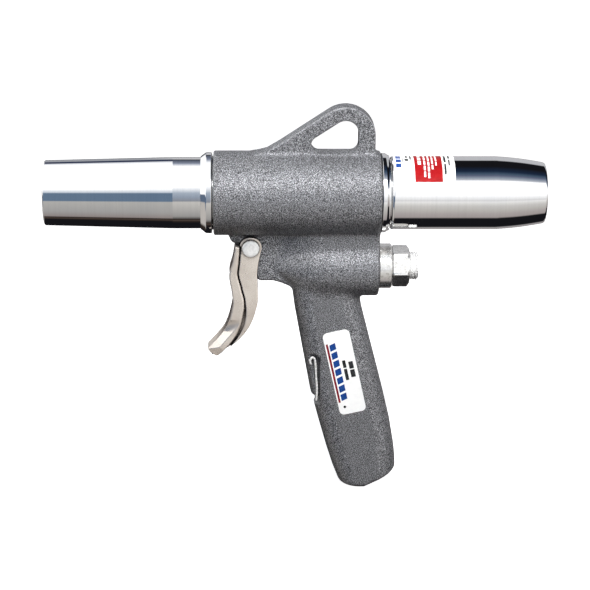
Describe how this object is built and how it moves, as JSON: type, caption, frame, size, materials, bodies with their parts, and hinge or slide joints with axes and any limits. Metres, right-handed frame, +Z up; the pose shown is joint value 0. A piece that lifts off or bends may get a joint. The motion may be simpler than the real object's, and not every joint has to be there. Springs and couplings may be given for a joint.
{
  "type": "compressed-air vacuum gun",
  "caption": "Hand-held venturi vacuum gun: cast pistol-grip body with hanging eye, polished suction and exhaust tubes, squeeze trigger, air valve, threaded inlet and trigger latch.",
  "frame": {"origin": "centre of the suction mouth, on the barrel axis", "axes": "+X along the barrel from the suction mouth to the exhaust end, +Z up towards the hanging eye, -Y is the side with the grip label"},
  "size_m": [0.3, 0.0508, 0.2442],
  "materials": {
    "casting_paint": "cast aluminium under hammertone grey baked enamel with a fine pebbled grain",
    "polished_aluminium": "mirror-polished",
    "brass": "turned",
    "plain_steel": "bright drawn and turned",
    "rubber": "black, matt",
    "nickel_trigger": "warm nickel plate over a cast lever",
    "pin_steel": "bright, faintly domed head",
    "nickel_fitting": "satin nickel plate",
    "wire_steel": "bright spring wire",
    "grip_label_film": null,
    "exhaust_label_film": null
  },
  "bodies": {
    "gun": {"body_casting": "casting_paint", "nozzle_tube": "polished_aluminium", "front_collar": "polished_aluminium", "rear_collar": "polished_aluminium", "exhaust_tube": "polished_aluminium", "venturi_inlet": "brass", "venturi_spacer": "plain_steel", "venturi_throat": "brass", "venturi_seal_front": "rubber", "venturi_seal_rear": "rubber", "trigger_pin": "pin_steel", "trigger_pin_clip": "plain_steel", "valve_seat": "brass", "valve_spring": "plain_steel", "stem_gland": "brass", "stem_seal": "rubber", "valve_cap": "nickel_fitting", "cap_seal": "rubber", "inlet_fitting": "nickel_fitting", "grip_label": "grip_label_film", "exhaust_label": "exhaust_label_film"},
    "trigger": {"trigger": "nickel_trigger"},
    "valve_stem": {"valve_stem": "plain_steel", "poppet_seal": "rubber"},
    "latch_bail": {"latch_bail": "wire_steel"}
  },
  "joints": [
    {"name": "trigger_pivot", "type": "hinge", "parent": "gun", "child": "trigger", "pos_m": [0.1232, 0, -0.0328], "axis": [0, -1, 0], "range_deg": [0, 33], "stiffness_Nm_per_rad": 0.1, "springref_deg": -34.38},
    {"name": "stem_slide", "type": "slide", "parent": "gun", "child": "valve_stem", "axis": [1, 0, 0], "range_m": [0, 0.0086], "deforming": ["valve_spring"]},
    {"name": "latch_swing", "type": "hinge", "parent": "gun", "child": "latch_bail", "pos_m": [0.1602, 0, -0.107], "axis": [0, 1, 0], "range_deg": [0, 108]}
  ],
  "couplings": [
    {"joint": "stem_slide", "follows": "trigger_pivot", "m_per_rad": 0.0148}
  ]
}
